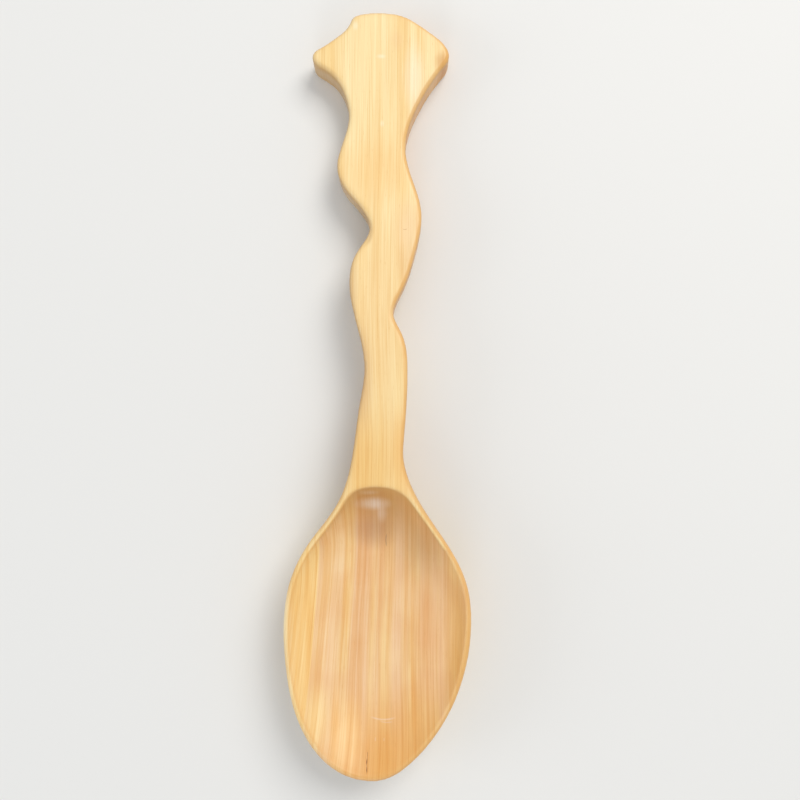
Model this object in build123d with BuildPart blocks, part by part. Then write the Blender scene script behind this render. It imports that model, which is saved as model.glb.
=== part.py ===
from build123d import *
import math
import os

# A wooden love spoon carved from one piece of wood, in millimetres.
# +Z is up, the handle points to +Y and the bowl to -Y. The spoon lies face up on its back:
# the bowl and the back of the finial rest on the plane z = 0.

# Lengths along the spoon
overall_length = 200.0
bowl_length = 75.0
finial_length = 30.0
# The face is level past the neck and again up to the end of the finial, and falls in between.
neck_level_length = 25.0
finial_level_length = 20.0

# Widths across the spoon
bowl_width = 47.8
neck_width = 13.7
finial_width = 36.7

# Heights above the table and thicknesses
rim_height = 14.5
rim_thickness = 2.5
handle_thickness = 8.5
finial_thickness = 9.0
# Depth of the flats that sanding left where the spoon rests on the table
bowl_flat_depth = 0.15
finial_flat_depth = 0.6

# The hollow of the bowl
hollow_depth = 10.5
rim_width = 1.5

# The eased edges: a bevel all round the face and a radius inside the rim
face_edge_bevel = 0.85
hollow_edge_radius = 0.4

# How far the middles of the elliptical sections lie above the rim
back_lift = 6.0
hollow_lift = 4.5

# Half width of the sections that shape the back of the handle and of the finial
handle_back_half_width = 14.0
finial_back_half_width = 60.0

# The section that closes the back just past the tip of the bowl
nose_overrun = 1.5
nose_half_width = 6.6
nose_depth = 1.6

# How far the hollow's sections run past its rim, above the wood, at the tip and at the crest
hollow_tip_run = 1.2
hollow_crest_run = 0.3
hollow_end_half_width = 1.8

# How far a cutting shape runs past the wood
overrun = 3.0

# Places along the spoon
tip_y = -overall_length / 2
neck_y = tip_y + bowl_length
end_y = overall_length / 2
waist_y = end_y - finial_length
handle_length = waist_y - neck_y
fall_start_y = neck_y + neck_level_length
fall_end_y = end_y - finial_level_length
fall_length = fall_end_y - fall_start_y


def on_bowl(shares):
    """Points on the outline of the bowl, from shares of its width and length."""
    return [(across * bowl_width, tip_y + along * bowl_length) for across, along in shares]


def on_handle(shares):
    """Points on the outline of the handle, from shares of the neck's width and the handle's length."""
    return [(across * neck_width, neck_y + along * handle_length) for across, along in shares]


def on_finial(shares):
    """Points on the outline of the finial, from shares of its width and length."""
    return [(across * finial_width, waist_y + along * finial_length) for across, along in shares]


# The outline seen from above, as pairs of shares, across and along: up the left side of the spoon
# from the tip of the bowl, over the finial and down the right side.
left_bowl_shares = [
    (-0.029, 0.000),
    (-0.280, 0.064),
    (-0.421, 0.200),
    (-0.483, 0.353),
    (-0.500, 0.480),
    (-0.467, 0.667),
    (-0.364, 0.800),
    (-0.213, 0.933),
]
left_handle_shares = [
    (-0.511, 0.047),
    (-0.345, 0.212),
    (-0.255, 0.302),
    (-0.394, 0.421),
    (-0.547, 0.558),
    (-0.431, 0.624),
    (-0.170, 0.696),
    (-0.321, 0.751),
    (-0.657, 0.811),
    (-0.796, 0.861),
]
finial_shares = [
    (-0.219, 0.017),
    (-0.243, 0.233),
    (-0.327, 0.413),
    (-0.414, 0.490),
    (-0.467, 0.537),
    (-0.484, 0.590),
    (-0.469, 0.642),
    (-0.414, 0.687),
    (-0.337, 0.750),
    (-0.253, 0.830),
    (-0.211, 0.900),
    (-0.188, 0.954),
    (-0.147, 0.980),
    (-0.060, 0.998),
    (0.050, 0.998),
    (0.163, 0.975),
    (0.357, 0.837),
    (0.458, 0.740),
    (0.515, 0.623),
    (0.508, 0.563),
    (0.471, 0.500),
    (0.292, 0.167),
]
right_handle_shares = [
    (0.591, 0.986),
    (0.533, 0.916),
    (0.672, 0.834),
    (0.836, 0.737),
    (0.723, 0.632),
    (0.453, 0.518),
    (0.299, 0.454),
    (0.445, 0.406),
    (0.569, 0.305),
    (0.500, 0.120),
    (0.489, 0.063),
]
right_bowl_shares = [
    (0.186, 0.981),
    (0.291, 0.867),
    (0.427, 0.733),
    (0.485, 0.635),
    (0.500, 0.533),
    (0.469, 0.376),
    (0.360, 0.200),
    (0.186, 0.064),
]
outline = (
    on_bowl(left_bowl_shares)
    + on_handle(left_handle_shares)
    + on_finial(finial_shares)
    + on_handle(right_handle_shares)
    + on_bowl(right_bowl_shares)
)


def fall_share(y):
    """Share of its fall that the handle has made at y, easing in and out."""
    share = min(max((y - fall_start_y) / fall_length, 0), 1)
    return share * share * (3 - 2 * share)


def face_height(y):
    """Height of the face of the handle and finial at y."""
    return rim_height - (rim_height - finial_thickness) * fall_share(y)


def back_height(y):
    """Height of the back of the handle and finial at y, along the middle."""
    neck_height = rim_height - handle_thickness
    return neck_height - (neck_height + finial_flat_depth) * fall_share(y)


def span_across(plan, y):
    """Middle and half width of a plan view at y."""
    crossings = Line((-bowl_width, y), (bowl_width, y)).intersect(plan).vertices()
    left = crossings.sort_by(Axis.X)[0].X
    right = crossings.sort_by(Axis.X)[-1].X
    return (left + right) / 2, (right - left) / 2


def half_width_through(half_width, edge_depth, depth, lift):
    """Half width of an ellipse, this deep below the rim, that passes through the edge at edge_depth."""
    height_share = (edge_depth + lift) / (depth + lift)
    return half_width / math.sqrt(1 - height_share**2)


with BuildSketch() as spoon_plan:
    with BuildLine():
        Spline(*outline, periodic=True)
    make_face()

# The rim's inner edge keeps the rim's width all round the bowl, and closes in a broad crest at
# the neck. The crest runs from left to right, in shares of the bowl's width and length.
crest_shares = [
    (-0.240, 0.905),
    (-0.175, 0.970),
    (-0.096, 1.007),
    (-0.010, 1.018),
    (0.072, 1.008),
    (0.150, 0.978),
]
rim_shares = left_bowl_shares[:-1] + crest_shares + right_bowl_shares[1:]
with BuildSketch() as hollow_plan:
    with BuildLine():
        Spline(*on_bowl(rim_shares), periodic=True)
    make_face()
    offset(amount=-rim_width)

# The back, section by section: place along the bowl, height of the wall left at the edge as a share
# of the rim's thickness, and depth below the rim as a share of the rim's height.
bowl_back_shares = [
    (0.020, 1.00, 0.276),
    (0.075, 1.00, 0.440),
    (0.160, 1.00, 0.640),
    (0.270, 1.00, 0.830),
    (0.390, 1.00, 0.960),
    (0.520, 1.00, 1.000),
    (0.660, 1.10, 0.950),
]
# The shoulders and the neck: place along the bowl, then the thickness at the edge and in the middle
# as shares of the handle's thickness.
neck_back_shares = [
    (0.790, 0.50, 1.440),
    (0.900, 0.71, 1.230),
    (1.000, 0.88, 1.090),
]
# Stations of the back of the handle, along its fall
handle_back_shares = [0.0, 0.2, 0.4, 0.6, 0.8, 1.0]

bowl_back_depth = rim_height + bowl_flat_depth
back_rows = [
    (tip_y + along * bowl_length, edge * rim_thickness, depth * bowl_back_depth)
    for along, edge, depth in bowl_back_shares
]
back_rows += [
    (tip_y + along * bowl_length, edge * handle_thickness, depth * handle_thickness)
    for along, edge, depth in neck_back_shares
]
tip_middle = left_bowl_shares[0][0] * bowl_width
back_sections = [(tip_y - nose_overrun, tip_middle, nose_half_width, nose_depth)]
for y, edge_depth, depth in back_rows:
    middle, half_width = span_across(spoon_plan.sketch, y)
    back_sections.append((y, middle, half_width_through(half_width, edge_depth, depth, back_lift), depth))
handle_back_stations = [neck_y + neck_level_length / 2]
handle_back_stations += [fall_start_y + share * fall_length for share in handle_back_shares]
handle_back_stations += [end_y - finial_level_length / 2, end_y + overrun]
handle_back_widening = finial_back_half_width - handle_back_half_width
for y in handle_back_stations:
    half_width = handle_back_half_width + handle_back_widening * fall_share(y)
    back_sections.append((y, 0, half_width, rim_height - back_height(y)))

# The hollow, section by section: place along it and depth below the rim as a share of its depth.
# It is shallow towards the tip and steep below the crest.
hollow_shares = [
    (0.045, 0.219),
    (0.126, 0.524),
    (0.231, 0.781),
    (0.353, 0.933),
    (0.485, 0.996),
    (0.616, 1.000),
    (0.739, 0.962),
    (0.844, 0.838),
    (0.925, 0.571),
    (0.975, 0.171),
]
hollow_start_y = hollow_plan.sketch.bounding_box().min.Y
hollow_finish_y = hollow_plan.sketch.bounding_box().max.Y
hollow_length = hollow_finish_y - hollow_start_y
hollow_end_depth = -hollow_lift / 2
# Past the tip and the crest the hollow ends above the rim, in line with the section beside it.
hollow_sections = [(hollow_start_y - hollow_tip_run, tip_middle, hollow_end_half_width, hollow_end_depth)]
for along, depth_share in hollow_shares:
    y = hollow_start_y + along * hollow_length
    depth = depth_share * hollow_depth
    middle, half_width = span_across(hollow_plan.sketch, y)
    hollow_sections.append((y, middle, half_width_through(half_width, 0, depth, hollow_lift), depth))
crest_middle = hollow_sections[-1][1]
hollow_sections.append(
    (hollow_finish_y + hollow_crest_run, crest_middle, hollow_end_half_width, hollow_end_depth)
)

# The side view's curve of the face, from the rim down to the finial
face_station_shares = [0.0, 0.25, 0.5, 0.75, 1.0]
face_stations = [fall_start_y + share * fall_length for share in face_station_shares]
face_curve = [(y, face_height(y)) for y in face_stations]

with BuildPart() as spoon:
    # The blank is sawn to the outline, straight through, and is thicker than the wood that is left.
    for height in (-overrun, rim_height + overrun):
        with BuildSketch(Plane.XY.offset(height)):
            add(spoon_plan.sketch)
    loft(ruled=True)

    # The side view leaves the rim level and lets the face of the handle fall to the finial.
    with BuildSketch(Plane.YZ.offset(-bowl_width)):
        with BuildLine():
            level_rim = Line((tip_y - overrun, rim_height), (fall_start_y, rim_height))
            fall = Spline(*face_curve, tangents=[(1, 0), (1, 0)])
            level_end = Line(fall @ 1, (end_y + overrun, finial_thickness))
            below_end = Line(level_end @ 1, (end_y + overrun, -2 * overrun))
            below_tip = Line(below_end @ 1, (tip_y - overrun, -2 * overrun))
            Line(below_tip @ 1, level_rim @ 0)
        make_face()
    extrude(amount=2 * bowl_width, mode=Mode.INTERSECT)

    # The back is carved round under the bowl, less so along the handle, and almost flat at the finial.
    for y, middle, half_width, depth in back_sections:
        with BuildSketch(Plane.XZ.offset(-y)):
            with BuildLine():
                centre = (middle, rim_height + back_lift)
                back_arc = EllipticalCenterArc(centre, half_width, depth + back_lift, 180, arc_size=180)
                Line(back_arc @ 1, back_arc @ 0)
            make_face()
    loft(mode=Mode.INTERSECT)

    # Flats under the bowl and the finial, where the spoon rests
    split(bisect_by=Plane.XY, keep=Keep.TOP)

    # The hollow of the bowl
    for y, middle, half_width, depth in hollow_sections:
        with BuildSketch(Plane.XZ.offset(-y)):
            with BuildLine():
                centre = (middle, rim_height + hollow_lift)
                hollow_arc = EllipticalCenterArc(
                    centre, half_width, depth + hollow_lift, 180, arc_size=180
                )
                Line(hollow_arc @ 1, hollow_arc @ 0)
            make_face()
    loft(mode=Mode.SUBTRACT)

    # Both edges of the rim are eased, and the outer bevel runs on all round the handle and finial.
    rim = spoon.faces().filter_by(Axis.Z).sort_by(Axis.Z)[-1]
    fillet(rim.inner_wires()[0].edges(), hollow_edge_radius)
    rim = spoon.faces().filter_by(Axis.Z).sort_by(Axis.Z)[-1]
    chamfer(rim.outer_wire().edges().sort_by(SortBy.LENGTH)[-1], face_edge_bevel)

os.makedirs("parts", exist_ok=True)
spoon.part.label = "spoon"
export_step(spoon.part, "parts/spoon.step")
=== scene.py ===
"""A carved wooden love spoon, dressed and lit for its portrait.

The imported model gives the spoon's solid, and this script keeps its size and place. It gives the
spoon the surface that a knife, sandpaper and oil leave: edges worn soft, a gently uneven face, a
drying crack at the tip of the bowl and pale, straight-grained wood.
"""

import logging
import math
from dataclasses import dataclass, field
from enum import Enum

import bpy
import numpy as np
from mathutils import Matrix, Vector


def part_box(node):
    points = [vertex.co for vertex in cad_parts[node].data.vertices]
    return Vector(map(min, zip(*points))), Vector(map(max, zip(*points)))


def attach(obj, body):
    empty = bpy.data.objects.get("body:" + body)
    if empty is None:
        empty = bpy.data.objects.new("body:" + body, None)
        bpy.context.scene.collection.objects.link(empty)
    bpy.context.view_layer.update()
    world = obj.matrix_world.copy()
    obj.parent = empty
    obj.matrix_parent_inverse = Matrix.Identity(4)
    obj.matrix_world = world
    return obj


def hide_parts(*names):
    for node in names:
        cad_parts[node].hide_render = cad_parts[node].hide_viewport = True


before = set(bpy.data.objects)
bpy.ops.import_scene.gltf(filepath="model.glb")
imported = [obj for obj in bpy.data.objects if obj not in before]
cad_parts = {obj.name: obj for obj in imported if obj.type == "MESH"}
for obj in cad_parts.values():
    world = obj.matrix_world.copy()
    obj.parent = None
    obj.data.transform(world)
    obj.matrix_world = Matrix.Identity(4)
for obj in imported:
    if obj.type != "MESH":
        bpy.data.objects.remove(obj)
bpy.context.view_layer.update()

MM = 0.001

log = logging.getLogger("love_spoon")

Colour = tuple[float, float, float]
Place = tuple[float, float]
Point = tuple[float, float, float]
Span = tuple[float, float]
Socket = bpy.types.NodeSocket
Value = Socket | float

# Where a patch and a mark start to show and where they are full, as shares of their reach
PATCH_FADE: Span = (1.0, 0.1)
MARK_FADE: Span = (1.0, 0.5)
NOISE_MIDDLE = 0.5
BACKDROP_STRENGTH = 1.0


class Layer(Enum):
    """The per-vertex layers that the wood's material reads."""

    WORN_EDGE = "worn_edge"
    UNDER_EDGE = "under_edge"
    LEE = "lee_side"
    HOLLOW = "hollow"
    END_GRAIN = "end_grain"
    SIDE = "side_wall"
    CRACK = "crack"


class Part(Enum):
    """Where on the spoon a patch or a mark shows."""

    BOWL = "bowl"
    HANDLE = "handle"


class Run(Enum):
    """Which way a mark runs."""

    ALONG = "along the grain"
    ACROSS = "across the grain"


class LampKind(Enum):
    """What a lamp does for the portrait."""

    KEY = "key_lamp"
    RIM = "rim_lamp"
    GLEAM = "gleam_lamp"


@dataclass(frozen=True)
class Streaks:
    """One size of streak in the grain, in millimetres.

    Attributes:
        width: Width of a streak across the grain.
        length: Length of a streak along the grain.
        detail: How many finer octaves ride on it.
        roughness: How strong the finer octaves are.
        seed: A number that tells one set of streaks from another.
    """

    width: float
    length: float
    detail: float
    roughness: float
    seed: float


@dataclass(frozen=True)
class Tint:
    """How one set of streaks shows in the wood's colour.

    Attributes:
        ratio: What the wood's colour is multiplied by, channel by channel.
        span: The streaks' values at which it starts to show and is full.
        share: How much of it shows.
    """

    ratio: Colour
    span: Span
    share: float = 1.0


@dataclass(frozen=True)
class Patch:
    """A soft patch where the wood's colour changes, in millimetres from the spoon's middle.

    Attributes:
        part: The part of the spoon that it shows on.
        centre: Its middle, across and along the spoon.
        reach: How far it goes from its middle, across and along.
        colour: Its colour in linear light.
        strength: How much of the colour shows in the middle.
    """

    part: Part
    centre: Place
    reach: Place
    colour: Colour
    strength: float


@dataclass(frozen=True)
class Mark:
    """A thin mark, such as a scratch, a fleck or a dark line in the grain, in millimetres.

    Attributes:
        part: The part of the spoon that it shows on.
        run: Which way it runs.
        centre: Its middle, across and along the spoon.
        half_length: Half its length.
        half_width: Half its width.
        bow: How far its ends bend away from its middle.
        colour: Its colour in linear light.
        strength: How much of the colour shows.
    """

    part: Part
    run: Run
    centre: Place
    half_length: float
    half_width: float
    bow: float
    colour: Colour
    strength: float


@dataclass(frozen=True)
class WoodFinish:
    """Pale, oiled wood as the spoon shows it, with painted shade and painted highlights among its colours:
    colours in linear light, lengths in millimetres.

    A span holds the value at which something starts to show and the one at which it is full.
    """

    # The face of the handle and the rim
    pale: Colour = (0.935, 0.740, 0.395)
    straw: Colour = (0.905, 0.650, 0.290)
    straw_bands: Span = (0.38, 0.66)

    # The bowl
    tan: Colour = (0.885, 0.625, 0.290)
    rose: Colour = (0.845, 0.565, 0.330)
    rose_bands: Span = (0.39, 0.61)
    blush: Colour = (0.800, 0.475, 0.235)
    blush_blotches: Span = (0.42, 0.66)
    blush_share: float = 0.55
    bowl_layer: Span = (0.25, 0.90)
    bowl_share: float = 0.95

    # The sapwood, to the left of a line that leans across the bowl
    sapwood: Colour = (0.965, 0.705, 0.300)
    sapwood_share: float = 0.75
    sapwood_edge: Span = (-0.15, 0.35)
    sapwood_across: float = -14.9
    sapwood_along: float = -41.5
    sapwood_lean: float = 0.077

    # Worn edges and end grain, with painted shade on the edges that face right
    honey: Colour = (0.750, 0.400, 0.115)
    open_wear: float = 0.18
    lee_edge_shade: float = 0.65
    end_grain_share: float = 0.30

    # Side walls: painted shade, darkest under the edge of the face, and a painted sheen on the walls that
    # do not face right
    wall_shade_ratio: Colour = (0.560, 0.535, 0.585)
    lee_wall_shade_ratio: Colour = (0.780, 0.625, 0.590)
    shade: Colour = (0.450, 0.270, 0.100)
    shade_share: float = 0.50
    sheen: Colour = (0.580, 0.500, 0.390)
    sheen_blotches: Span = (0.42, 0.60)
    sheen_share: float = 0.35

    # Painted shade on the steep wall under the crest of the hollow, by height and along the spoon, and on
    # its lip
    crest: Colour = (0.640, 0.380, 0.130)
    crest_share: float = 0.42
    crest_top: Span = (14.3, 13.5)
    crest_foot: Span = (11.1, 13.3)
    crest_along: Span = (-42.0, -30.0)
    lip: Colour = (0.780, 0.510, 0.210)
    lip_gain: float = 2.0
    lip_along: Span = (-22.0, -26.0)
    crack: Colour = (0.270, 0.110, 0.040)

    # The grain: its streaks, and how they tint the wood
    bands: Streaks = Streaks(width=5.0, length=260.0, detail=2.0, roughness=0.5, seed=2.0)
    streaks: Streaks = Streaks(width=1.9, length=150.0, detail=3.0, roughness=0.6, seed=7.0)
    lines: Streaks = Streaks(width=0.65, length=60.0, detail=2.0, roughness=0.55, seed=10.0)
    fibres: Streaks = Streaks(width=0.30, length=26.0, detail=2.0, roughness=0.6, seed=13.0)
    silver: Streaks = Streaks(width=0.45, length=18.0, detail=2.0, roughness=0.55, seed=17.0)
    pores: Streaks = Streaks(width=0.20, length=2.2, detail=1.0, roughness=0.5, seed=21.0)
    wall_lines: Streaks = Streaks(width=0.90, length=45.0, detail=3.0, roughness=0.6, seed=29.0)
    streak_tint: Tint = Tint((0.920, 0.765, 0.540), (0.46, 0.62))
    line_tint: Tint = Tint((0.870, 0.680, 0.430), (0.53, 0.68), 0.65)
    fibre_tint: Tint = Tint((0.820, 0.640, 0.420), (0.46, 0.66), 0.32)
    silver_tint: Tint = Tint((1.045, 1.110, 1.220), (0.47, 0.66), 0.60)
    pore_tint: Tint = Tint((0.820, 0.640, 0.420), (0.64, 0.80), 0.40)
    wall_line_tint: Tint = Tint((0.920, 0.765, 0.540), (0.44, 0.62), 0.60)
    face_grain: float = 0.32
    bowl_grain: float = 0.28
    blotch_size: float = 14.0
    blotch_detail: float = 2.0

    # The tree's heart, which the rings run round, and how the grain strays from them
    heart_across: float = -150.0
    heart_height: float = 4.0
    wander_length: float = 80.0
    wander_reach: float = 1.4
    wander_detail: float = 1.0
    fan_start: float = 8.0
    fan_reach: float = 23.0

    # The surface
    roughness: Span = (0.36, 0.52)
    dullness: Span = (0.35, 0.65)
    blotch_dullness: float = 0.5
    bump_strength: float = 0.35
    bump_height: float = 0.06
    pore_dips: Span = (0.62, 0.80)
    pore_depth: float = 0.5
    refraction: float = 1.45
    coat: float = 0.08
    coat_roughness: float = 0.28

    patches: tuple[Patch, ...] = (
        # The warmer right side and tip of the bowl
        Patch(Part.BOWL, (13.0, -64.0), (9.0, 24.0), (0.780, 0.400, 0.170), 0.55),
        Patch(Part.BOWL, (2.0, -98.0), (20.0, 24.0), (0.780, 0.400, 0.095), 0.80),
        Patch(Part.BOWL, (11.5, -86.0), (9.0, 13.0), (0.780, 0.420, 0.120), 0.45),
        Patch(Part.BOWL, (20.5, -66.0), (6.0, 28.0), (0.760, 0.410, 0.110), 0.70),
        # Painted light on the left of the tip, where the hollow's wall faces the light
        Patch(Part.BOWL, (-15.5, -85.0), (5.0, 11.0), (0.970, 0.770, 0.400), 0.70),
        # Painted shade on the wall under the crest, its painted shadow to the right and a painted cool
        # glare on it
        Patch(Part.BOWL, (0.0, -28.0), (17.0, 16.0), (0.560, 0.285, 0.085), 0.85),
        Patch(Part.BOWL, (12.0, -40.0), (10.0, 14.0), (0.620, 0.370, 0.160), 0.60),
        Patch(Part.BOWL, (-1.5, -38.0), (8.0, 6.5), (0.530, 0.295, 0.160), 0.60),
        Patch(Part.BOWL, (-1.2, -30.6), (5.8, 2.4), (0.860, 0.740, 0.640), 0.70),
        Patch(Part.BOWL, (1.0, -33.4), (1.8, 3.4), (0.840, 0.710, 0.600), 0.40),
        Patch(Part.BOWL, (-2.4, -27.6), (3.4, 0.9), (0.760, 0.640, 0.520), 0.40),
        # Pale clouds in the bowl
        Patch(Part.BOWL, (7.3, -56.5), (5.5, 8.0), (0.930, 0.700, 0.400), 0.38),
        Patch(Part.BOWL, (4.4, -71.8), (3.6, 5.0), (0.930, 0.710, 0.410), 0.28),
        Patch(Part.BOWL, (-10.8, -47.2), (3.6, 4.6), (0.920, 0.720, 0.450), 0.28),
        Patch(Part.BOWL, (-13.5, -66.0), (3.6, 16.0), (0.920, 0.660, 0.400), 0.45),
        # The yellow and brown streaks of the bowl
        Patch(Part.BOWL, (-7.5, -90.0), (5.0, 13.0), (0.940, 0.660, 0.280), 0.60),
        Patch(Part.BOWL, (-11.0, -88.0), (1.7, 13.0), (0.840, 0.470, 0.130), 0.60),
        Patch(Part.BOWL, (-8.4, -58.0), (1.3, 13.0), (0.860, 0.520, 0.180), 0.45),
        Patch(Part.BOWL, (-1.6, -56.0), (0.9, 17.0), (0.800, 0.450, 0.150), 0.45),
        Patch(Part.BOWL, (9.2, -80.0), (1.2, 13.0), (0.810, 0.430, 0.130), 0.45),
        Patch(Part.BOWL, (-17.8, -60.0), (1.5, 22.0), (0.860, 0.480, 0.120), 0.50),
        # A painted highlight on the rim on the left
        Patch(Part.BOWL, (-24.0, -62.0), (3.2, 21.0), (1.000, 0.900, 0.600), 0.95),
        Patch(Part.BOWL, (-22.2, -78.0), (2.4, 10.0), (1.000, 0.820, 0.470), 0.75),
        # A painted highlight low on the bowl's rim on the right, and an orange band on its outside on the
        # right
        Patch(Part.HANDLE, (17.8, -85.5), (5.0, 8.5), (0.990, 0.870, 0.640), 0.75),
        Patch(Part.HANDLE, (23.0, -58.0), (4.5, 21.0), (0.830, 0.510, 0.190), 0.80),
        # Light and dark wood on the finial, and the glints on its face
        Patch(Part.HANDLE, (9.5, 82.0), (4.0, 13.0), (0.965, 0.830, 0.580), 0.70),
        Patch(Part.HANDLE, (5.0, 92.0), (3.0, 4.0), (0.880, 0.610, 0.310), 0.45),
        Patch(Part.HANDLE, (17.3, 86.2), (3.2, 4.2), (0.700, 0.390, 0.130), 0.85),
        Patch(Part.HANDLE, (-6.1, 96.0), (1.0, 1.7), (0.990, 0.880, 0.640), 0.60),
        Patch(Part.HANDLE, (0.7, 87.7), (1.7, 0.8), (0.990, 0.880, 0.640), 0.60),
        Patch(Part.HANDLE, (1.0, 69.5), (0.8, 1.2), (0.990, 0.880, 0.640), 0.50),
        # Straw and rosy wood along the handle
        Patch(Part.HANDLE, (-0.5, 15.0), (12.0, 46.0), (0.890, 0.625, 0.295), 0.75),
        Patch(Part.HANDLE, (-1.0, 57.0), (16.0, 14.0), (0.900, 0.590, 0.240), 0.62),
        Patch(Part.HANDLE, (8.0, 41.0), (5.5, 12.0), (0.880, 0.600, 0.340), 0.55),
        # Darker wood along the handle's edges and at the neck
        Patch(Part.HANDLE, (7.8, 31.0), (4.5, 9.0), (0.820, 0.530, 0.250), 0.55),
        Patch(Part.HANDLE, (-7.2, 25.0), (3.0, 15.0), (0.700, 0.470, 0.230), 0.60),
        Patch(Part.HANDLE, (-3.8, 1.0), (3.4, 18.0), (0.720, 0.480, 0.240), 0.85),
        Patch(Part.HANDLE, (6.2, -18.0), (5.2, 18.0), (0.880, 0.520, 0.180), 0.75),
        Patch(Part.HANDLE, (-2.0, -22.0), (12.0, 22.0), (0.850, 0.520, 0.170), 0.70),
    )
    marks: tuple[Mark, ...] = (
        # Scratches and dents near the tip of the bowl
        Mark(Part.BOWL, Run.ACROSS, (1.3, -86.4), 3.7, 0.34, 0.8, (0.900, 0.760, 0.680), 0.30),
        Mark(Part.BOWL, Run.ACROSS, (2.2, -87.0), 1.9, 0.28, 0.3, (0.860, 0.700, 0.640), 0.24),
        Mark(Part.BOWL, Run.ALONG, (-0.6, -90.8), 0.5, 0.26, 0.0, (0.900, 0.740, 0.640), 0.22),
        Mark(Part.BOWL, Run.ALONG, (1.6, -90.8), 0.4, 0.26, 0.0, (0.900, 0.740, 0.640), 0.20),
        # Dark lines in the bowl's grain
        Mark(Part.BOWL, Run.ALONG, (2.0, -40.6), 1.9, 0.18, 0.2, (0.300, 0.170, 0.090), 0.75),
        Mark(Part.BOWL, Run.ALONG, (3.4, -86.0), 4.5, 0.12, 0.1, (0.560, 0.290, 0.110), 0.40),
        Mark(Part.BOWL, Run.ALONG, (-4.6, -72.0), 16.0, 0.16, 0.3, (0.700, 0.400, 0.150), 0.35),
        Mark(Part.BOWL, Run.ALONG, (-8.4, -62.0), 14.0, 0.22, 0.3, (0.800, 0.480, 0.160), 0.45),
        # A nick and a darker band along the edge of the notch in the handle
        Mark(Part.HANDLE, Run.ACROSS, (7.0, 40.6), 0.7, 0.15, 0.3, (0.560, 0.290, 0.110), 0.65),
        Mark(Part.HANDLE, Run.ALONG, (-1.8, 40.2), 4.4, 0.90, -1.5, (0.640, 0.400, 0.170), 0.60),
        # Lines in the finial's grain
        Mark(Part.HANDLE, Run.ALONG, (8.3, 91.4), 1.9, 0.30, 0.1, (0.860, 0.540, 0.230), 0.60),
        Mark(Part.HANDLE, Run.ALONG, (1.9, 78.0), 14.0, 0.16, 0.1, (0.860, 0.560, 0.240), 0.45),
        Mark(Part.HANDLE, Run.ALONG, (5.4, 76.0), 11.0, 0.20, 0.1, (0.870, 0.590, 0.290), 0.45),
    )


@dataclass(frozen=True)
class PaperFinish:
    """The plain pale floor, and the backdrop that it fades into, by distance in metres."""

    colour: Colour = (0.80, 0.79, 0.77)
    roughness: float = 0.9
    backdrop: Colour = (0.86, 0.86, 0.85)
    fade: Span = (0.22, 0.70)


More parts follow.
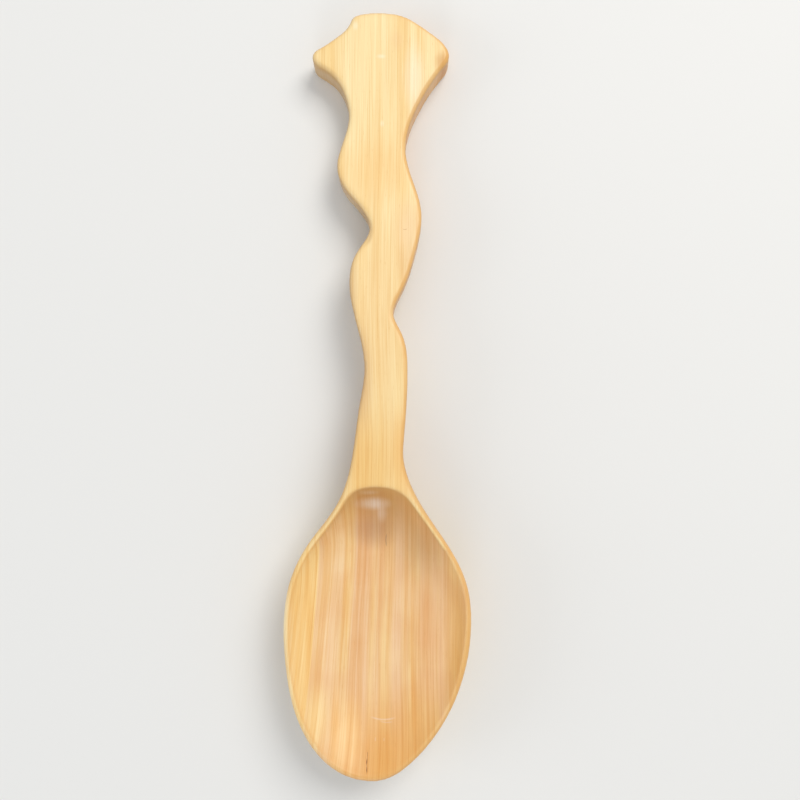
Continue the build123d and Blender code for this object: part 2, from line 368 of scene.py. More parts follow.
class NodeSheet:
    """Adds and joins shader nodes in one tree."""

    # Where a Mix node keeps its share and its two colours, and then the mixed colour
    MIX_INPUTS = (0, 6, 7)
    MIX_OUTPUT = 2

    def __init__(self, tree: bpy.types.NodeTree) -> None:
        """Keeps the tree that the nodes go to.

        Args:
            tree: The material's, world's or group's node tree.
        """
        self.tree = tree

    def add(self, kind: str, **settings: object) -> bpy.types.Node:
        """Adds a node.

        Args:
            kind: The node's type name.
            settings: Properties of the node, by name.

        Returns:
            The new node.
        """
        node = self.tree.nodes.new(kind)
        for name, value in settings.items():
            setattr(node, name, value)
        return node

    def feed(self, node: bpy.types.Node, name: str | int, value: object) -> None:
        """Gives an input a value, or links it where the value is a socket.

        Args:
            node: The node whose input it is.
            name: The input's name or number.
            value: A socket, a number, a colour or a vector.
        """
        target = node.inputs[name]
        if isinstance(value, bpy.types.NodeSocket):
            self.tree.links.new(value, target)
        elif isinstance(target, bpy.types.NodeSocketColor):
            target.default_value = (*value, 1.0)
        else:
            target.default_value = value

    def math(self, operation: str, *values: Value) -> Socket:
        """Works out a number from one, two or three others.

        Args:
            operation: The Math node's operation.
            values: Sockets or numbers, in order.

        Returns:
            The result's socket.
        """
        node = self.add("ShaderNodeMath", operation=operation)
        for place, value in enumerate(values):
            self.feed(node, place, value)
        return node.outputs[0]

    def product(self, first: Value, *factors: Value) -> Value:
        """Multiplies a number by any number of others.

        Args:
            first: The first number.
            factors: The others.

        Returns:
            Their product.
        """
        for factor in factors:
            first = self.math("MULTIPLY", first, factor)
        return first

    def rest(self, share: Value) -> Socket:
        """What a share leaves of the whole."""
        return self.math("SUBTRACT", 1.0, share)

    def vector(self, x: Value, y: Value, z: Value = 0.0) -> Socket:
        """Puts three numbers together as a vector.

        Args:
            x: The first number.
            y: The second number.
            z: The third number.

        Returns:
            The vector's socket.
        """
        node = self.add("ShaderNodeCombineXYZ")
        for place, value in enumerate((x, y, z)):
            self.feed(node, place, value)
        return node.outputs[0]

    def length(self, vector: Socket) -> Socket:
        """Measures how long a vector is.

        Args:
            vector: The vector's socket.

        Returns:
            Its length's socket.
        """
        node = self.add("ShaderNodeVectorMath", operation="LENGTH")
        self.feed(node, 0, vector)
        return node.outputs["Value"]

    def remap(self, value: Value, given: Span, wanted: Span, step: str = "LINEAR") -> Socket:
        """Takes a number from one span to another.

        Args:
            value: The number.
            given: The span that it lies in.
            wanted: The span that it goes to.
            step: How the node goes from one end to the other.

        Returns:
            The new number's socket.
        """
        node = self.add("ShaderNodeMapRange", interpolation_type=step)
        self.feed(node, "Value", value)
        for name, end in zip(("From Min", "From Max", "To Min", "To Max"), (*given, *wanted)):
            self.feed(node, name, end)
        return node.outputs["Result"]

    def ramp(self, value: Value, span: Span) -> Socket:
        """Eases a number into a share, from 0 at the span's start to 1 at its end.

        Args:
            value: The number.
            span: Where the ease starts and ends, in either order.

        Returns:
            The share's socket.
        """
        start, full = span
        if start > full:
            return self.remap(value, (full, start), (1.0, 0.0), "SMOOTHSTEP")
        return self.remap(value, span, (0.0, 1.0), "SMOOTHSTEP")

    def noise(
        self, place: Socket, detail: Value, roughness: Value = 0.5, scale: float = 1.0, sides: str = "3D"
    ) -> Socket:
        """Draws cloudy noise.

        Args:
            place: Where it is read.
            detail: How many finer octaves ride on it.
            roughness: How strong the finer octaves are.
            scale: How many clouds there are to a unit of the place.
            sides: How many dimensions it has.

        Returns:
            The noise's value, about NOISE_MIDDLE on average.
        """
        node = self.add("ShaderNodeTexNoise", noise_dimensions=sides)
        self.feed(node, "Vector", place)
        self.feed(node, "Scale", scale)
        self.feed(node, "Detail", detail)
        self.feed(node, "Roughness", roughness)
        return node.outputs[0]

    def blend(self, share: Value, first: object, second: object, how: str = "MIX") -> Socket:
        """Mixes two colours.

        Args:
            share: How much of the second colour shows, from 0 to 1.
            first: The colour at 0.
            second: The colour at 1, or what the first is multiplied by there.
            how: The node's way to mix them.

        Returns:
            The mixed colour's socket.
        """
        node = self.add("ShaderNodeMix", data_type="RGBA", blend_type=how, clamp_factor=True)
        for place, value in zip(self.MIX_INPUTS, (share, first, second)):
            self.feed(node, place, value)
        return node.outputs[self.MIX_OUTPUT]

    def tint(self, share: Value, colour: Socket, ratio: object) -> Socket:
        """Multiplies a colour by a ratio, channel by channel, as far as the share says."""
        return self.blend(share, colour, ratio, "MULTIPLY")

    def shown(self) -> Socket:
        """Tells rays that show a background, seen straight, mirrored or through glass, from light.

        Returns:
            1 for a ray that shows the background, else 0.
        """
        rays = self.add("ShaderNodeLightPath").outputs
        seen = self.math("MAXIMUM", rays["Is Camera Ray"], rays["Is Glossy Ray"])
        return self.math("MAXIMUM", seen, rays["Is Transmission Ray"])

    def layer(self, name: Layer) -> Socket:
        """Reads one of the piece's own vertex layers."""
        node = self.add("ShaderNodeAttribute", attribute_type="GEOMETRY", attribute_name=name.value)
        return node.outputs["Fac"]

    def mix_shaders(self, share: Value, first: Socket, second: Socket, output: str) -> None:
        """Mixes two shaders and gives them to the output.

        Args:
            share: How much of the second shader shows.
            first: The shader at 0.
            second: The shader at 1.
            output: The output node's type name.
        """
        mix = self.add("ShaderNodeMixShader")
        for place, value in enumerate((share, first, second)):
            self.feed(mix, place, value)
        self.feed(self.add(output), "Surface", mix.outputs[0])


class GrainGroup:
    """The node group that draws one size of streak, from broad bands to fine pores."""

    NAME = "grain_streaks"
    INPUTS = ("Across", "Along", "Width", "Length", "Detail", "Roughness", "Seed")

    def tree(self) -> bpy.types.NodeTree:
        """Builds the group once.

        Returns:
            The group's node tree.
        """
        known = bpy.data.node_groups.get(self.NAME)
        if known:
            return known
        group = bpy.data.node_groups.new(self.NAME, "ShaderNodeTree")
        for name in self.INPUTS:
            group.interface.new_socket(name, in_out="INPUT", socket_type="NodeSocketFloat")
        group.interface.new_socket("Value", in_out="OUTPUT", socket_type="NodeSocketFloat")
        sheet = NodeSheet(group)
        given = sheet.add("NodeGroupInput").outputs
        across = sheet.math("DIVIDE", given["Across"], given["Width"])
        along = sheet.math("DIVIDE", given["Along"], given["Length"])
        place = sheet.vector(across, along, given["Seed"])
        value = sheet.noise(place, given["Detail"], given["Roughness"])
        sheet.feed(sheet.add("NodeGroupOutput"), "Value", value)
        return group

    def place(self, sheet: NodeSheet, across: Value, along: Value, streaks: Streaks) -> Socket:
        """Places the group in a material.

        Args:
            sheet: The material's nodes.
            across: Place across the grain in millimetres.
            along: Place along the grain in millimetres.
            streaks: The streaks' size and seed.

        Returns:
            The streaks' value, about NOISE_MIDDLE on average.
        """
        node = sheet.add("ShaderNodeGroup", node_tree=self.tree())
        size = (streaks.width, streaks.length, streaks.detail, streaks.roughness, streaks.seed)
        for name, value in zip(self.INPUTS, (across, along, *size)):
            sheet.feed(node, name, value)
        return node.outputs["Value"]


@dataclass
class OiledWood:
    """The spoon's wood as a material.

    Attributes:
        finish: The wood's colours, grain, patches and marks.
        name: The material's name.
        sheet: The material's nodes. What follows are sockets of theirs.
        place: Place on the spoon in millimetres, then each of its three parts.
        bowl: How much a place belongs to the bowl; handle is what that leaves.
        bands: The broadest streaks of the grain, with the finer ones after them.
        blotches: Soft cloudy patches.
    """

    finish: WoodFinish = field(default_factory=WoodFinish)
    name: str = "oiled_wood"
    sheet: NodeSheet = field(init=False)
    place: Socket = field(init=False)
    across: Socket = field(init=False)
    along: Socket = field(init=False)
    height: Socket = field(init=False)
    bowl: Socket = field(init=False)
    handle: Socket = field(init=False)
    bands: Socket = field(init=False)
    streaks: Socket = field(init=False)
    lines: Socket = field(init=False)
    fibres: Socket = field(init=False)
    silver: Socket = field(init=False)
    pores: Socket = field(init=False)
    wall_lines: Socket = field(init=False)
    blotches: Socket = field(init=False)

    def build(self) -> bpy.types.Material:
        """Builds the material.

        Returns:
            The finished material.
        """
        material = bpy.data.materials.new(self.name)
        material.use_nodes = True
        material.node_tree.nodes.clear()
        self.sheet = NodeSheet(material.node_tree)
        self._read_place()
        self._draw_grain()
        colour = self._wood()
        for step in (self._patches, self._fine_grain, self._walls, self._edges, self._crest, self._marks):
            colour = step(colour)
        crack = self.sheet.layer(Layer.CRACK)
        self._shade(self.sheet.blend(crack, colour, self.finish.crack))
        return material

    def _read_place(self) -> None:
        """Reads the place on the spoon in millimetres, and how much of it is bowl."""
        sheet = self.sheet
        scale = sheet.add("ShaderNodeVectorMath", operation="SCALE")
        sheet.feed(scale, 0, sheet.add("ShaderNodeTexCoord").outputs["Object"])
        sheet.feed(scale, "Scale", 1 / MM)
        self.place = scale.outputs[0]
        parts = sheet.add("ShaderNodeSeparateXYZ")
        sheet.feed(parts, 0, self.place)
        self.across, self.along, self.height = parts.outputs
        self.bowl = sheet.ramp(sheet.layer(Layer.HOLLOW), self.finish.bowl_layer)
        self.handle = sheet.rest(self.bowl)

    def _draw_grain(self) -> None:
        """Draws the grain round the tree's heart, which wanders a little along the board."""
        sheet, finish = self.sheet, self.finish
        path = sheet.vector(
            sheet.math("DIVIDE", self.across, finish.wander_length),
            sheet.math("DIVIDE", self.along, finish.wander_length),
        )
        wander = sheet.noise(path, finish.wander_detail, sides="2D")
        drift = sheet.product(sheet.math("SUBTRACT", wander, NOISE_MIDDLE), 2 * finish.wander_reach)
        from_heart = sheet.length(sheet.vector(
            sheet.math("SUBTRACT", self.across, finish.heart_across),
            sheet.math("SUBTRACT", self.height, finish.heart_height),
        ))
        ring = sheet.math("ADD", sheet.math("ADD", from_heart, drift), self._fan())

        grain = GrainGroup()
        self.bands = grain.place(sheet, ring, self.along, finish.bands)
        self.streaks = grain.place(sheet, ring, self.along, finish.streaks)
        self.lines = grain.place(sheet, ring, self.along, finish.lines)
        self.fibres = grain.place(sheet, ring, self.along, finish.fibres)
        self.silver = grain.place(sheet, ring, self.along, finish.silver)
        self.pores = grain.place(sheet, ring, self.along, finish.pores)
        self.wall_lines = grain.place(sheet, self.height, self.along, finish.wall_lines)
        self.blotches = sheet.noise(self.place, finish.blotch_detail, scale=1 / finish.blotch_size)

    def _fan(self) -> Socket:
        """Lets the grain fan out to the left as it runs down the bowl.

        Returns:
            How far the grain has moved, in millimetres.
        """
        sheet, finish = self.sheet, self.finish
        below = sheet.math("MAXIMUM", sheet.math("SUBTRACT", finish.sapwood_along, self.along), 0.0)
        left = sheet.math("SUBTRACT", finish.fan_start, self.across)
        share = sheet.math("DIVIDE", left, finish.fan_reach)
        held = sheet.math("MINIMUM", sheet.math("MAXIMUM", share, 0.0), 1.0)
        return sheet.product(below, held, finish.sapwood_lean)

    def _wood(self) -> Socket:
        """Colours the wood in broad bands: creamy along the handle, warmer in the bowl.

        Returns:
            The colour's socket.
        """
        sheet, finish = self.sheet, self.finish
        face = sheet.blend(sheet.ramp(self.bands, finish.straw_bands), finish.pale, finish.straw)
        bowl = sheet.blend(sheet.ramp(self.bands, finish.rose_bands), finish.tan, finish.rose)
        blush = sheet.product(sheet.ramp(self.blotches, finish.blush_blotches), finish.blush_share)
        bowl = sheet.blend(blush, bowl, finish.blush)
        up = sheet.math("SUBTRACT", self.along, finish.sapwood_along)
        line = sheet.math("ADD", sheet.product(up, finish.sapwood_lean), finish.sapwood_across)
        past = sheet.math("SUBTRACT", line, self.across)
        sapwood = sheet.product(sheet.ramp(past, finish.sapwood_edge), finish.sapwood_share)
        bowl = sheet.blend(sapwood, bowl, finish.sapwood)
        return sheet.blend(sheet.product(self.bowl, finish.bowl_share), face, bowl)

    def _patches(self, colour: Socket) -> Socket:
        """Lays the soft patches over the wood.

        Args:
            colour: The colour so far.

        Returns:
            The colour with its patches.
        """
        sheet = self.sheet
        for patch in self.finish.patches:
            across, along = self._from(patch.centre)
            reach = sheet.vector(
                sheet.math("DIVIDE", across, patch.reach[0]), sheet.math("DIVIDE", along, patch.reach[1])
            )
            soft = sheet.ramp(sheet.length(reach), PATCH_FADE)
            mask = sheet.product(soft, self._on(patch.part), patch.strength)
            colour = sheet.blend(mask, colour, patch.colour)
        return colour

    def _from(self, centre: Place) -> tuple[Socket, Socket]:
        """How far each place lies from a centre, across and along the spoon."""
        sheet = self.sheet
        return sheet.math("SUBTRACT", self.across, centre[0]), sheet.math("SUBTRACT", self.along, centre[1])

    def _on(self, part: Part) -> Socket:
        """How much each place belongs to one part of the spoon."""
        return self.bowl if part is Part.BOWL else self.handle

    def _fine_grain(self, colour: Socket) -> Socket:
        """Draws streaks, lines, dark and pale fibres and pores, the larger ones stronger in the bowl.

        Args:
            colour: The colour so far.

        Returns:
            The colour with its fine grain.
        """
        sheet, finish = self.sheet, self.finish
        strong = sheet.math("MULTIPLY_ADD", self.bowl, finish.bowl_grain, finish.face_grain)
        for streaks, tint, strength in (
            (self.streaks, finish.streak_tint, strong),
            (self.lines, finish.line_tint, strong),
            (self.fibres, finish.fibre_tint, 1.0),
            (self.silver, finish.silver_tint, 1.0),
            (self.pores, finish.pore_tint, 1.0),
        ):
            share = sheet.product(sheet.ramp(streaks, tint.span), strength, tint.share)
            colour = sheet.tint(share, colour, tint.ratio)
        return colour

    def _walls(self, colour: Socket) -> Socket:
        """Paints shade on the side walls and draws their grain, with a painted sheen on the walls that do
        not face right and the painted shade darkest under the edge of the face.

        Args:
            colour: The colour so far.

        Returns:
            The colour with its side walls.
        """
        sheet, finish = self.sheet, self.finish
        side, under, lee = (sheet.layer(name) for name in (Layer.SIDE, Layer.UNDER_EDGE, Layer.LEE))
        # Painted shade: every wall is darkened, the walls that face right by their own ratio
        colour = sheet.tint(side, colour, sheet.blend(lee, finish.wall_shade_ratio, finish.lee_wall_shade_ratio))
        tint = finish.wall_line_tint
        lines = sheet.product(side, sheet.ramp(self.wall_lines, tint.span), tint.share)
        colour = sheet.tint(lines, colour, tint.ratio)
        # Painted sheen, a reflection laid in blotches on the walls away from the edge
        blotches = sheet.ramp(self.blotches, finish.sheen_blotches)
        open_side = sheet.product(sheet.rest(lee), sheet.rest(under))
        sheen = sheet.product(side, open_side, blotches, finish.sheen_share)
        colour = sheet.blend(sheen, colour, finish.sheen)
        # Painted shade under the edge of the face
        return sheet.blend(sheet.product(side, under, finish.shade_share), colour, finish.shade)

    def _edges(self, colour: Socket) -> Socket:
        """Turns worn edges and end grain to honey, the edges that face right further with painted shade.

        Args:
            colour: The colour so far.

        Returns:
            The colour with its edges.
        """
        sheet, finish = self.sheet, self.finish
        # Worn edges go honey everywhere; the extra share on edges facing right is painted shade
        wear_and_shade = sheet.math("MULTIPLY_ADD", sheet.layer(Layer.LEE), finish.lee_edge_shade, finish.open_wear)
        colour = sheet.blend(sheet.product(sheet.layer(Layer.WORN_EDGE), wear_and_shade), colour, finish.honey)
        ends = sheet.product(sheet.layer(Layer.END_GRAIN), finish.end_grain_share)
        return sheet.blend(ends, colour, finish.honey)

    def _crest(self, colour: Socket) -> Socket:
        """Paints shade on the lip of the crest and on the steep wall under it, next to the neck.

        Args:
            colour: The colour so far.

        Returns:
            The colour with its crest.
        """
        sheet, finish = self.sheet, self.finish
        near = sheet.ramp(self.along, finish.crest_along)
        past = sheet.ramp(self.along, finish.lip_along)
        # Painted shade on the lip, where the bowl meets the handle below the crest
        lip = sheet.product(self.bowl, self.handle, near, past, finish.lip_gain)
        colour = sheet.blend(lip, colour, finish.lip)
        # Painted shade on the steep wall under the crest
        top = sheet.ramp(self.height, finish.crest_top)
        foot = sheet.ramp(self.height, finish.crest_foot)
        wall = sheet.product(top, foot, near, self.bowl, finish.crest_share)
        return sheet.blend(wall, colour, finish.crest)

    def _marks(self, colour: Socket) -> Socket:
        """Draws the thin marks.

        Args:
            colour: The colour so far.

        Returns:
            The colour with its marks.
        """
        sheet = self.sheet
        for mark in self.finish.marks:
            across, along = self._from(mark.centre)
            run, side = (along, across) if mark.run is Run.ALONG else (across, along)
            share = sheet.math("DIVIDE", run, mark.half_length)
            bend = sheet.product(share, share, mark.bow)
            off = sheet.math("ABSOLUTE", sheet.math("SUBTRACT", side, bend))
            width = sheet.ramp(off, (mark.half_width, 0.0))
            length = sheet.ramp(sheet.math("ABSOLUTE", share), MARK_FADE)
            mask = sheet.product(width, length, self._on(mark.part), mark.strength)
            colour = sheet.blend(mask, colour, mark.colour)
        return colour

    def _shade(self, colour: Socket) -> None:
        """Makes the shader: satin where the oil lies, duller in the blotches and along the fibres.

        Args:
            colour: The finished colour.
        """
        sheet, finish = self.sheet, self.finish
        blotches = sheet.product(self.blotches, finish.blotch_dullness)
        dull = sheet.math("MULTIPLY_ADD", self.fibres, 1 - finish.blotch_dullness, blotches)
        dips = sheet.product(sheet.ramp(self.pores, finish.pore_dips), finish.pore_depth)
        bump = sheet.add("ShaderNodeBump")
        sheet.feed(bump, "Strength", finish.bump_strength)
        sheet.feed(bump, "Distance", finish.bump_height * MM)
        sheet.feed(bump, "Height", sheet.math("SUBTRACT", self.fibres, dips))
        shader = sheet.add("ShaderNodeBsdfPrincipled")
        sheet.feed(shader, "Base Color", colour)
        sheet.feed(shader, "Roughness", sheet.remap(dull, finish.dullness, finish.roughness))
        sheet.feed(shader, "Normal", bump.outputs[0])
        sheet.feed(shader, "IOR", finish.refraction)
        sheet.feed(shader, "Coat Weight", finish.coat)
        sheet.feed(shader, "Coat Roughness", finish.coat_roughness)
        sheet.feed(sheet.add("ShaderNodeOutputMaterial"), "Surface", shader.outputs[0])


@dataclass(frozen=True)
class DryingCrack:
    """The short crack that runs into the tip of the bowl, in millimetres.

    Attributes:
        start: Its inner end, across and along the spoon.
        end: Its outer end, but for a short tail.
        half_width: Half its width where it is open.
        depth: How deep it is in its middle.
        wander: How far it strays from a straight line.
        waves: How often it strays over its length.
        breaks: How often it all but closes over its length.
        near: How far from it the faces are divided finely.
        cuts: How often each of those faces is cut.
        ends_share: Where its tail ends, as a share of its length.
        opens_share: The share of its length over which it opens.
        closes_share: The share of its length over which it closes again.
        thin_share: Its width where it is closed, as a share of its width.
        whole_share: How open it is on average between its breaks.
        margin_share: How far past its ends the faces are divided finely.
    """

    start: Place = (-2.61, -93.4)
    end: Place = (-2.70, -97.8)
    half_width: float = 0.16
    depth: float = 0.30
    wander: float = 0.05
    waves: float = 1.4
    breaks: float = 2.7
    near: float = 1.1
    cuts: int = 3
    ends_share: float = 1.05
    opens_share: float = 0.35
    closes_share: float = 0.20
    thin_share: float = 0.35
    whole_share: float = 0.60
    margin_share: float = 0.10

    def share(self, places: np.ndarray) -> np.ndarray:
        """How far along the crack each place lies, from 0 at its start to 1 at its end."""
        return (places[:, 1] / MM - self.start[1]) / (self.end[1] - self.start[1])

    def offset(self, places: np.ndarray) -> np.ndarray:
        """How far each place lies from the crack's line, across it.

        Args:
            places: Places in metres.

        Returns:
            Distances in millimetres.
        """
        share = np.clip(self.share(places), 0.0, 1.0)
        line = self.start[0] + (self.end[0] - self.start[0]) * share
        line = line + self.wander * np.sin(share * self.waves * 2 * math.pi)
        return np.abs(places[:, 0] / MM - line)

    def close_to(self, places: np.ndarray) -> np.ndarray:
        """Which places lie near enough for their faces to be divided finely.

        Args:
            places: Places in metres.

        Returns:
            One truth for each place.
        """
        share = self.share(places)
        beside = (share > -self.margin_share) & (share < self.ends_share + self.margin_share)
        return (self.offset(places) < self.near) & beside

    def openness(self, places: np.ndarray, normals: np.ndarray) -> np.ndarray:
        """How open the crack is at each place, from 0 for whole wood to 1 in its middle.

        Args:
            places: Vertex places in metres.
            normals: Vertex normals.

        Returns:
            One share for each vertex.
        """
        share = self.share(places)
        opening = np.clip(share / self.opens_share, 0.0, 1.0)
        taper = opening * np.clip((self.ends_share - share) / self.closes_share, 0.0, 1.0)
        width = self.half_width * (self.thin_share + (1 - self.thin_share) * taper)
        across = np.clip(1.0 - self.offset(places) / width, 0.0, 1.0)
        wave = np.sin(share * self.breaks * 2 * math.pi)
        broken = self.whole_share + (1 - self.whole_share) * wave
        inside = (share > 0.0) & (share < self.ends_share) & (normals[:, 2] > 0.0)
        return across * broken * np.sqrt(taper) * inside


@dataclass
class CarvedSpoon:
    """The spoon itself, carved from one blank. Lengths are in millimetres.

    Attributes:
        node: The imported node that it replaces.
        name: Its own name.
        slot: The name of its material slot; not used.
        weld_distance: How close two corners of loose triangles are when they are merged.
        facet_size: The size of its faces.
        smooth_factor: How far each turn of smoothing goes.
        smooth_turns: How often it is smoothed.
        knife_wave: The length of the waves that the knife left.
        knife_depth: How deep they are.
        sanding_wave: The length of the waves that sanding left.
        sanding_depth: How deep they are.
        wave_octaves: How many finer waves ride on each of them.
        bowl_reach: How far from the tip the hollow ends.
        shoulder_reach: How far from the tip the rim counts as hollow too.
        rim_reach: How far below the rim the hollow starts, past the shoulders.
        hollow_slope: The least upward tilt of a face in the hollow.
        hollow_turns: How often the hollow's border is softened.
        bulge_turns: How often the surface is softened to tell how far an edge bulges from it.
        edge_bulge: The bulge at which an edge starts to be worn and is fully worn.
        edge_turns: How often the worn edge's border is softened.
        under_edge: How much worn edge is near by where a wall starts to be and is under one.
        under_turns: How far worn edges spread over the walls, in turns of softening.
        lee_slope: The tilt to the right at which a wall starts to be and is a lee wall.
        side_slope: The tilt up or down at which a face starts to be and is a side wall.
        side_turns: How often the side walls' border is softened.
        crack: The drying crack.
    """

    node: str = "spoon"
    name: str = "carved_spoon"
    slot: str = "wood"
    weld_distance: float = 0.002
    facet_size: float = 0.45
    smooth_factor: float = 0.5
    smooth_turns: int = 2
    knife_wave: float = 13.0
    knife_depth: float = 0.14
    sanding_wave: float = 4.5
    sanding_depth: float = 0.04
    wave_octaves: int = 1
    bowl_reach: float = 76.0
    shoulder_reach: float = 58.0
    rim_reach: float = 0.40
    hollow_slope: float = 0.05
    hollow_turns: int = 6
    bulge_turns: int = 14
    edge_bulge: Span = (0.05, 0.25)
    edge_turns: int = 3
    under_edge: Span = (0.0, 0.30)
    under_turns: int = 18
    lee_slope: Span = (0.10, 0.50)
    side_slope: Span = (0.75, 0.25)
    side_turns: int = 2
    crack: DryingCrack = field(default_factory=DryingCrack)

    def build(self, material: bpy.types.Material) -> bpy.types.Object:
        """Makes the spoon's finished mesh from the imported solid.

        Args:
            material: The wood.

        Returns:
            The finished piece.
        """
        piece = self._welded_copy()
        self._remesh(piece)
        self._undulate(piece)
        self._open_crack(piece)
        self._paint_layers(piece)
        self._dress(piece, material)
        return piece

    def _welded_copy(self) -> bpy.types.Object:
        """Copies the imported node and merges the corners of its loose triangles.

        Returns:
            The welded copy.
        """
        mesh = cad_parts[self.node].data.copy()
        mesh.name = self.name
        mesh.materials.clear()
        piece = bpy.data.objects.new(self.name, mesh)
        bpy.context.scene.collection.objects.link(piece)
        make_active(piece)
        bpy.ops.object.mode_set(mode="EDIT")
        bpy.ops.mesh.select_all(action="SELECT")
        bpy.ops.mesh.remove_doubles(threshold=self.weld_distance * MM)
        bpy.ops.mesh.normals_make_consistent(inside=False)
        bpy.ops.object.mode_set(mode="OBJECT")
        return piece

    def _remesh(self, piece: bpy.types.Object) -> None:
        """Turns the triangles into even small faces and softens the steps between them.

        Args:
            piece: The welded copy.
        """
        remesh = piece.modifiers.new("even_faces", "REMESH")
        remesh.mode = "VOXEL"
        remesh.voxel_size = self.facet_size * MM
        smooth = piece.modifiers.new("sanded_steps", "SMOOTH")
        smooth.factor = self.smooth_factor
        smooth.iterations = self.smooth_turns
        apply_modifiers(piece)

    def _undulate(self, piece: bpy.types.Object) -> None:
        """Takes off the shallow waves that a knife and then sandpaper take from wood.

        Args:
            piece: The remeshed piece.
        """
        for name, wave, depth in (
            ("knife_waves", self.knife_wave, self.knife_depth),
            ("sanding_waves", self.sanding_wave, self.sanding_depth),
        ):
            clouds = bpy.data.textures.new(name, "CLOUDS")
            clouds.noise_scale = wave * MM
            clouds.noise_depth = self.wave_octaves
            displace = piece.modifiers.new(name, "DISPLACE")
            displace.texture = clouds
            displace.texture_coords = "LOCAL"
            displace.strength = depth * MM
            displace.mid_level = 1.0
        apply_modifiers(piece)

    def _open_crack(self, piece: bpy.types.Object) -> None:
        """Divides the faces about the crack finely and sinks a groove along its line.

        Args:
            piece: The piece with its waves.
        """
        centres = read_vectors(piece.data.polygons, "center")
        make_active(piece)
        bpy.ops.object.mode_set(mode="EDIT")
        bpy.ops.mesh.select_mode(type="FACE")
        bpy.ops.mesh.select_all(action="DESELECT")
        bpy.ops.object.mode_set(mode="OBJECT")
        piece.data.polygons.foreach_set("select", self.crack.close_to(centres))
        bpy.ops.object.mode_set(mode="EDIT")
        bpy.ops.mesh.subdivide(number_cuts=self.crack.cuts)
        bpy.ops.object.mode_set(mode="OBJECT")
        openness = self.crack.openness(vertex_places(piece), vertex_normals(piece))
        write_layer(piece, Layer.CRACK, np.sqrt(openness))
        group = piece.vertex_groups.new(name="crack")
        for index in np.flatnonzero(openness):
            group.add([int(index)], float(openness[index]), "REPLACE")
        sink = piece.modifiers.new("sunk_crack", "DISPLACE")
        sink.vertex_group = group.name
        sink.mid_level = 0.0
        sink.strength = -self.crack.depth * MM
        apply_modifiers(piece)
        piece.vertex_groups.clear()

    def _paint_layers(self, piece: bpy.types.Object) -> None:
        """Writes the layers that tell the wood where its edges, hollow, walls and end grain are.

        Args:
            piece: The piece with its crack.
        """
        places = vertex_places(piece)
        normals = vertex_normals(piece)
        upward = normals[:, 2]
        low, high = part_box(self.node)
        neighbours = Neighbours(piece)

        softened = neighbours.average(places, self.bulge_turns)
        bulge = ((places - softened) * normals).sum(axis=1) / MM
        edge = ease(bulge, self.edge_bulge)
        above = neighbours.average(edge * (upward > 0.0), self.under_turns)
        write_layer(piece, Layer.WORN_EDGE, neighbours.average(edge, self.edge_turns))
        write_layer(piece, Layer.UNDER_EDGE, ease(above, self.under_edge))
        write_layer(piece, Layer.LEE, ease(normals[:, 0], self.lee_slope))

        along = (places[:, 1] - low[1]) / MM
        below_rim = places[:, 2] < high[2] - self.rim_reach * MM
        sunk = (upward > self.hollow_slope) & (below_rim | (along < self.shoulder_reach))
        inside = sunk & (along < self.bowl_reach)
        hollow = neighbours.average(inside.astype(float), self.hollow_turns)
        side = ease(np.abs(upward), self.side_slope)
        write_layer(piece, Layer.HOLLOW, hollow)
        write_layer(piece, Layer.SIDE, neighbours.average(side * (1.0 - hollow), self.side_turns))
        write_layer(piece, Layer.END_GRAIN, normals[:, 1] ** 2)

    def _dress(self, piece: bpy.types.Object, material: bpy.types.Material) -> None:
        """Gives the piece its wood and ties it to the frame.

        Args:
            piece: The piece with its layers.
            material: The wood.
        """
        piece.data.materials.append(material)
        make_active(piece)
        bpy.ops.object.shade_smooth()
        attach(piece, "root")
        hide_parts(self.node)


class Neighbours:
    """Which vertices of a mesh touch which, for averaging values over the surface."""

    def __init__(self, piece: bpy.types.Object) -> None:
        """Reads the mesh's edges.

        Args:
            piece: The piece whose vertices are averaged.
        """
        ends = np.zeros(len(piece.data.edges) * 2, np.int32)
        piece.data.edges.foreach_get("vertices", ends)
        self.first, self.second = ends.reshape(-1, 2).T
        self.count = len(piece.data.vertices)
        self.touching = np.bincount(ends, minlength=self.count).astype(float)

    def average(self, values: np.ndarray, turns: int) -> np.ndarray:
        """Averages each vertex's value with its neighbours', several times over.

        Args:
            values: One value or one row for each vertex.
            turns: How many times it is done.

        Returns:
            The averaged values.
        """
        columns = values.reshape(self.count, -1).astype(float)
        for _ in range(turns):
            total = np.zeros_like(columns)
            for column in range(columns.shape[1]):
                there = columns[:, column]
                total[:, column] += np.bincount(self.first, there[self.second], self.count)
                total[:, column] += np.bincount(self.second, there[self.first], self.count)
            columns = (columns + total) / (1.0 + self.touching)[:, None]
        return columns.reshape(values.shape)


def make_active(piece: bpy.types.Object) -> None:
    """Deselects everything and makes one piece the active one.

    Args:
        piece: The piece.
    """
    bpy.ops.object.select_all(action="DESELECT")
    piece.select_set(True)
    bpy.context.view_layer.objects.active = piece


def apply_modifiers(piece: bpy.types.Object) -> None:
    """Applies all of a piece's modifiers, in order.

    Args:
        piece: The piece.
    """
    make_active(piece)
    for name in [modifier.name for modifier in piece.modifiers]:
        bpy.ops.object.modifier_apply(modifier=name)


def read_vectors(rows: bpy.types.bpy_prop_collection, name: str) -> np.ndarray:
    """Reads one vector for each vertex or face.

    Args:
        rows: The mesh's vertices, faces or normals.
        name: The vector's name.

    Returns:
        One row for each.
    """
    values = np.zeros(len(rows) * 3, np.float32)
    rows.foreach_get(name, values)
    return values.reshape(-1, 3).astype(float)


def vertex_places(piece: bpy.types.Object) -> np.ndarray:
    """Places of a piece's vertices, one row each, in metres."""
    return read_vectors(piece.data.vertices, "co")


def vertex_normals(piece: bpy.types.Object) -> np.ndarray:
    """Normals of a piece's vertices, one row each."""
    return read_vectors(piece.data.vertex_normals, "vector")


def ease(values: np.ndarray, span: Span) -> np.ndarray:
    """Takes numbers to shares, from 0 at a span's start to 1 at its end."""
    return np.clip((values - span[0]) / (span[1] - span[0]), 0.0, 1.0)


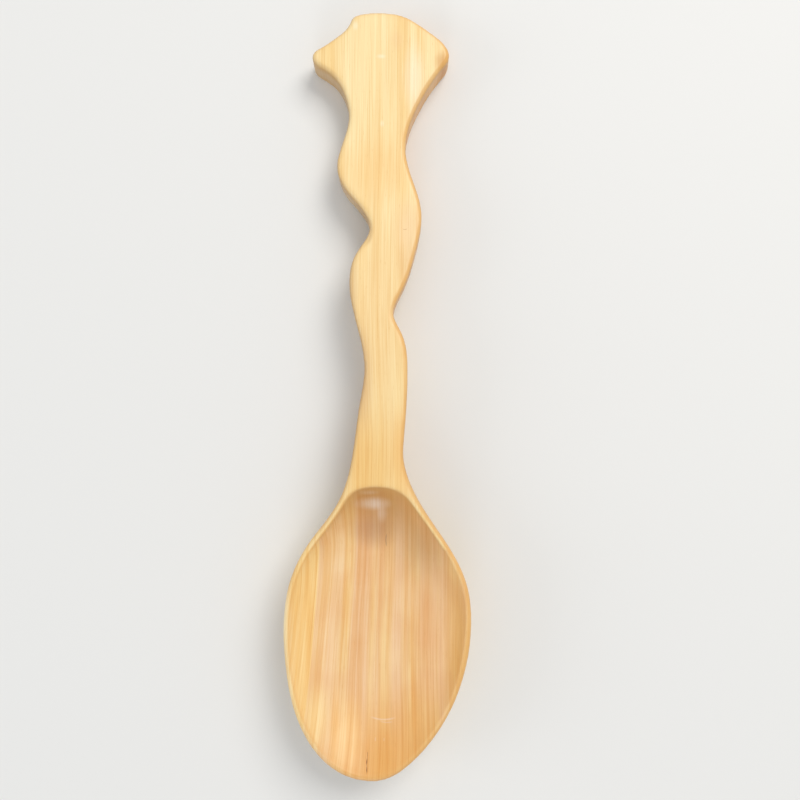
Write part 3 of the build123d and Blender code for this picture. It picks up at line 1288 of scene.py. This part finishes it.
def write_layer(piece: bpy.types.Object, layer: Layer, values: np.ndarray) -> None:
    """Writes one value for each vertex under the layer's name.

    Args:
        piece: The piece that gets the layer.
        layer: Which layer it is.
        values: One number for each vertex.
    """
    attribute = piece.data.attributes.new(layer.value, "FLOAT", "POINT")
    attribute.data.foreach_set("value", values.astype(np.float32))


@dataclass(frozen=True)
class Lamp:
    """A square soft lamp that looks at the middle of the spoon. Places and sizes are in metres.

    Attributes:
        kind: What the lamp does.
        place: Where it hangs.
        size: Its side.
        power: Its power in watts.
        colour: Its colour in linear light.
    """

    kind: LampKind
    place: Point
    size: float
    power: float
    colour: Colour

    def hang(self) -> None:
        """Makes the lamp."""
        light = bpy.data.lights.new(self.kind.value, "AREA")
        light.shape = "SQUARE"
        light.size = self.size
        light.energy = self.power
        light.color = self.colour
        lamp = bpy.data.objects.new(self.kind.value, light)
        lamp.location = self.place
        lamp.rotation_euler = (-lamp.location).to_track_quat("-Z", "Y").to_euler()
        bpy.context.scene.collection.objects.link(lamp)


@dataclass
class Studio:
    """The plain pale floor, the soft light and the camera that looks down on the spoon.

    Attributes:
        finish: The floor's paper and the backdrop.
        floor_radius: The floor's radius in metres.
        floor_sides: How many sides the floor has.
        camera_place: Where the camera is, in metres from the floor's middle.
        camera_tilt_degrees: How far it is tilted from straight down.
        photo_width: The photograph's width in pixels.
        focal_length: The camera's focal length in pixels of the photograph.
        sensor_width: The sensor's width in millimetres.
        clip: The nearest and the farthest that the camera sees, in metres.
        sky_colour: The colour of the even light in linear light.
        sky_strength: How strong it is.
        lamps: The lamps, strongest first.
    """

    finish: PaperFinish = field(default_factory=PaperFinish)
    floor_radius: float = 3.0
    floor_sides: int = 64
    camera_place: Point = (0.00572, -0.01263, 0.23096)
    camera_tilt_degrees: float = 2.3
    photo_width: float = 800.0
    focal_length: float = 850.0
    sensor_width: float = 36.0
    clip: Span = (0.01, 20.0)
    sky_colour: Colour = (0.94, 0.97, 1.0)
    sky_strength: float = 0.57
    lamps: tuple[Lamp, ...] = (
        Lamp(LampKind.KEY, (0.45, 0.58, 0.80), 0.60, 7.0, (1.0, 0.97, 0.92)),
        Lamp(LampKind.RIM, (-0.90, -0.15, 0.36), 0.45, 1.8, (0.92, 0.96, 1.0)),
        Lamp(LampKind.GLEAM, (-0.05, -0.85, 0.38), 0.30, 1.3, (0.92, 0.96, 1.0)),
    )

    def build(self) -> None:
        """Sets the whole studio up."""
        self._floor()
        self._sky()
        for lamp in self.lamps:
            lamp.hang()
            log.info("lamp %s hangs", lamp.kind.value)
        self._camera()
        bpy.context.scene.view_settings.view_transform = "Standard"

    def _floor(self) -> None:
        """Lays the floor that the spoon rests on."""
        bpy.ops.object.select_all(action="DESELECT")
        bpy.ops.mesh.primitive_circle_add(
            vertices=self.floor_sides, radius=self.floor_radius, fill_type="NGON"
        )
        floor = bpy.context.active_object
        floor.name = "floor"
        floor.data.materials.append(self._paper())

    def _paper(self) -> bpy.types.Material:
        """Makes the floor's paper, which fades into the plain background far from the spoon.

        Returns:
            The finished material.
        """
        material = bpy.data.materials.new("pale_paper")
        material.use_nodes = True
        material.node_tree.nodes.clear()
        sheet = NodeSheet(material.node_tree)
        paper = sheet.add("ShaderNodeBsdfPrincipled")
        sheet.feed(paper, "Base Color", self.finish.colour)
        sheet.feed(paper, "Roughness", self.finish.roughness)
        backdrop = sheet.add("ShaderNodeEmission")
        sheet.feed(backdrop, "Color", self.finish.backdrop)
        sheet.feed(backdrop, "Strength", BACKDROP_STRENGTH)
        distance = sheet.length(sheet.add("ShaderNodeTexCoord").outputs["Object"])
        far = sheet.product(sheet.ramp(distance, self.finish.fade), sheet.shown())
        sheet.mix_shaders(far, paper.outputs[0], backdrop.outputs[0], "ShaderNodeOutputMaterial")
        return material

    def _sky(self) -> None:
        """Fills the studio with even light, and shows a plain pale background behind the floor."""
        world = bpy.data.worlds.new("studio_sky")
        world.use_nodes = True
        world.node_tree.nodes.clear()
        sheet = NodeSheet(world.node_tree)
        light = sheet.add("ShaderNodeBackground")
        sheet.feed(light, "Color", self.sky_colour)
        sheet.feed(light, "Strength", self.sky_strength)
        backdrop = sheet.add("ShaderNodeBackground")
        sheet.feed(backdrop, "Color", self.finish.backdrop)
        sheet.feed(backdrop, "Strength", BACKDROP_STRENGTH)
        sheet.mix_shaders(sheet.shown(), light.outputs[0], backdrop.outputs[0], "ShaderNodeOutputWorld")
        bpy.context.scene.world = world

    def _camera(self) -> None:
        """Puts the camera where the photograph was taken from."""
        lens = bpy.data.cameras.new("camera")
        lens.sensor_width = self.sensor_width
        lens.lens = self.sensor_width * self.focal_length / self.photo_width
        lens.clip_start, lens.clip_end = self.clip
        camera = bpy.data.objects.new("camera", lens)
        camera.location = self.camera_place
        camera.rotation_euler = (math.radians(self.camera_tilt_degrees), 0.0, 0.0)
        bpy.context.scene.collection.objects.link(camera)
        bpy.context.scene.camera = camera


def main() -> None:
    """Builds the studio, then the spoon, and reports each piece."""
    logging.basicConfig(level=logging.INFO, format="%(name)s: %(message)s")
    Studio().build()
    log.info("studio is lit")
    spoon = CarvedSpoon().build(OiledWood().build())
    log.info("%s has %d faces", spoon.name, len(spoon.data.polygons))


if __name__ == "__main__":
    main()
